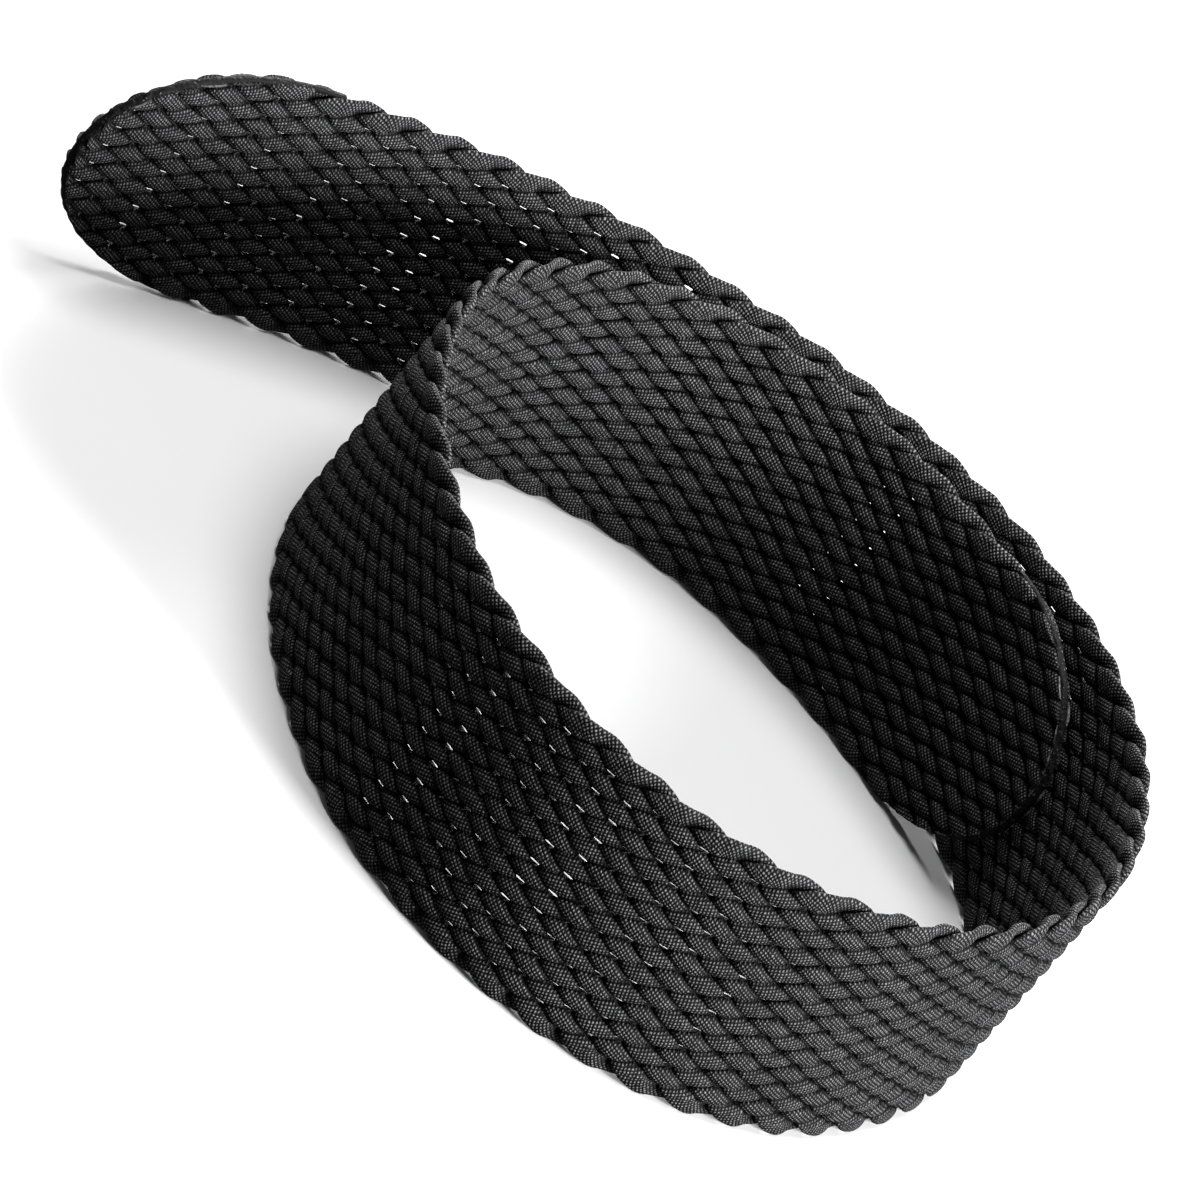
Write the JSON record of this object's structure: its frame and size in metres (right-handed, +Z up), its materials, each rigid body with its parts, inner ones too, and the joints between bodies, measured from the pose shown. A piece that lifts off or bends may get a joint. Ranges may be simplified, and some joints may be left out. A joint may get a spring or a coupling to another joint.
{
  "type": "esd wrist strap",
  "caption": "Flat-braided textile wrist band, loosely coiled on its edge into an overlapping loop with a free tail and rounded, heat-sealed ends.",
  "frame": {"origin": "middle of the bounding box in plan, on the surface the strap's long edge stands on", "axes": "+Z up, along the loop's axis and across the strap's width; +X to the right and +Y away, with the tail running off towards -X on the far side"},
  "size_m": [0.0852, 0.0638, 0.02],
  "materials": {
    "braid": "matte charcoal-black braided yarn",
    "melted_rim": "melted and trimmed yarn ends"
  },
  "bodies": {
    "loop": {"loop_cord_01": "braid", "loop_cord_02": "braid", "loop_cord_03": "braid", "loop_cord_04": "braid", "loop_cord_05": "braid", "loop_cord_06": "braid", "loop_cord_07": "braid", "loop_cord_08": "braid", "loop_cord_09": "braid", "loop_cord_10": "braid", "loop_cord_11": "braid", "loop_cord_12": "braid", "loop_cord_13": "braid", "loop_cord_14": "braid", "loop_cord_15": "braid", "loop_cord_16": "braid", "loop_cord_17": "braid", "loop_cord_18": "braid", "loop_cord_19": "braid", "loop_cord_20": "braid", "loop_cord_21": "braid", "loop_cord_22": "braid", "loop_cord_23": "braid"},
    "tail": {"tail_cords_01_to_02": "braid", "tail_cords_03_to_04": "braid", "tail_cords_05_to_06": "braid", "tail_cords_07_to_08": "braid", "tail_cords_09_to_10": "braid", "tail_cords_11_to_12": "braid", "tail_cords_13_to_14": "braid", "tail_cords_15_to_16": "braid", "tail_cords_17_to_18": "braid", "tail_cords_19_to_20": "braid", "tail_cords_21_to_22": "braid", "tail_cords_23_to_23": "braid", "tail_tip_rim": "melted_rim"},
    "inner_end": {"end_cords_01_to_02": "braid", "end_cords_03_to_04": "braid", "end_cords_05_to_06": "braid", "end_cords_07_to_08": "braid", "end_cords_09_to_10": "braid", "end_cords_11_to_12": "braid", "end_cords_13_to_14": "braid", "end_cords_15_to_16": "braid", "end_cords_17_to_18": "braid", "end_cords_19_to_20": "braid", "end_cords_21_to_22": "braid", "end_cords_23_to_23": "braid", "inner_tip_rim": "melted_rim"}
  },
  "joints": [
    {"name": "tail_flex", "type": "hinge", "parent": "loop", "child": "tail", "pos_m": [-0.00712, 0.02803, 0.01], "axis": [0, 0, 1], "range_deg": [-35, 6], "stiffness_Nm_per_rad": 0.002},
    {"name": "inner_end_flex", "type": "hinge", "parent": "loop", "child": "inner_end", "pos_m": [-0.00353, 0.02504, 0.01], "axis": [0, 0, 1], "range_deg": [-30, 0], "stiffness_Nm_per_rad": 0.002}
  ]
}
